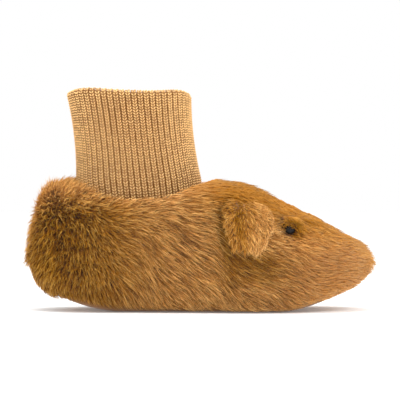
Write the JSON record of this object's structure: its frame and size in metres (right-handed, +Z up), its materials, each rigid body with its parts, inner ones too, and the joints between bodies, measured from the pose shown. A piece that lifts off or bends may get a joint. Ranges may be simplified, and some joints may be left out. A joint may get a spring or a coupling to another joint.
{
  "type": "animal slipper",
  "caption": "Toddler's plush animal slipper with a rib-knit ankle cuff, hanging ears, bead eyes and a soft suede sole, right foot",
  "frame": {"origin": "middle of the shoe's box in plan, on the floor that the sole stands on", "axes": "+X to the toe, +Y to the inner side of the right foot, +Z up"},
  "size_m": [0.1494, 0.0748, 0.0948],
  "materials": {
    "fur": "deep tan plush pile",
    "suede": "napped soft sole suede",
    "fleece": "short fleece footbed",
    "knit": "rib-knitted wool yarn",
    "bead": "glossy black bead"
  },
  "bodies": {
    "root": {"upper": "fur", "sole": "suede", "insole": "fleece", "cuff": "knit", "ear_right": "fur", "ear_left": "fur", "eye_right": "bead", "eye_left": "bead"}
  },
  "joints": []
}
